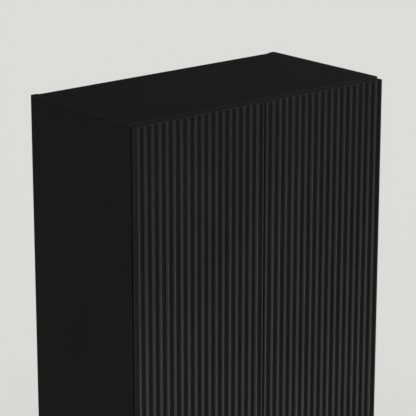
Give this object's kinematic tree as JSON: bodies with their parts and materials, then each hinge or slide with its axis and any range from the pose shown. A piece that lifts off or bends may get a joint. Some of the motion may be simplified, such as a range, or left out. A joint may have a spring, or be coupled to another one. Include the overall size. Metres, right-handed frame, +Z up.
{
  "type": "hanging wall cabinet",
  "caption": "Tall wall-hung cabinet with full overlay fluted doors on cup hinges, push-to-open latches, adjustable shelves and hangers that hook over a wall rail.",
  "frame": {"origin": "middle of the wall rail's hole line, on the wall plane", "axes": "+X to the right as seen from the front, -Y out of the wall, +Z up"},
  "size_m": [0.7, 0.365, 1.2],
  "materials": {
    "carcass_laminate": "matte black laminate with fine grain",
    "door_foil": "matte black foil over fluted fibreboard",
    "back_board": "thin black fibreboard",
    "raw_wood": "bare beech",
    "black_plastic": "matte moulded plastic",
    "grey_plastic": "matte moulded plastic",
    "nickel_steel": "nickel plated",
    "zinc_steel": "zinc plated",
    "die_cast_zinc": "cast, satin",
    "magnet": "nickel plated, satin"
  },
  "bodies": {
    "cabinet": {"left_side_panel": "carcass_laminate", "right_side_panel": "carcass_laminate", "top_panel": "carcass_laminate", "bottom_panel": "carcass_laminate", "back_panel": "back_board", "lower_shelf": "carcass_laminate", "middle_shelf": "carcass_laminate", "upper_shelf": "carcass_laminate", "shelf_pins": "nickel_steel", "cam_locks": "die_cast_zinc", "cam_bolts": "zinc_steel", "cam_caps": "black_plastic", "wood_dowels": "raw_wood", "left_hinge_plates": "nickel_steel", "right_hinge_plates": "nickel_steel", "left_hinge_arms": "nickel_steel", "right_hinge_arms": "nickel_steel", "hinge_plate_screws": "zinc_steel", "hinge_arm_screws": "zinc_steel", "left_hanger_housing": "black_plastic", "right_hanger_housing": "black_plastic", "left_hanger_hook": "zinc_steel", "right_hanger_hook": "zinc_steel", "hanger_adjusting_screws": "zinc_steel", "hanger_fixing_screws": "zinc_steel", "wall_rail": "zinc_steel", "left_latch_housing": "grey_plastic", "right_latch_housing": "grey_plastic", "latch_screws": "zinc_steel"},
    "left_door": {"left_door": "door_foil", "left_hinge_cups": "nickel_steel", "left_cup_screws": "zinc_steel", "left_hinge_pins": "zinc_steel", "left_strike_plate": "zinc_steel", "left_strike_screw": "zinc_steel"},
    "right_door": {"right_door": "door_foil", "right_hinge_cups": "nickel_steel", "right_cup_screws": "zinc_steel", "right_hinge_pins": "zinc_steel", "right_strike_plate": "zinc_steel", "right_strike_screw": "zinc_steel"},
    "left_latch_plunger": {"left_latch_plunger": "grey_plastic", "left_latch_magnet": "magnet"},
    "right_latch_plunger": {"right_latch_plunger": "grey_plastic", "right_latch_magnet": "magnet"}
  },
  "joints": [
    {"name": "left_door_swing", "type": "hinge", "parent": "cabinet", "child": "left_door", "pos_m": [-0.3415, -0.3576, -0.546], "axis": [0, 0, -1], "range_deg": [0, 95]},
    {"name": "right_door_swing", "type": "hinge", "parent": "cabinet", "child": "right_door", "pos_m": [0.3415, -0.3576, -0.546], "axis": [0, 0, 1], "range_deg": [0, 95]},
    {"name": "left_latch_push", "type": "slide", "parent": "cabinet", "child": "left_latch_plunger", "axis": [0, 1, 0], "range_m": [0, 0.0025], "stiffness_N_per_m": 400},
    {"name": "right_latch_push", "type": "slide", "parent": "cabinet", "child": "right_latch_plunger", "axis": [0, 1, 0], "range_m": [0, 0.0025], "stiffness_N_per_m": 400}
  ]
}
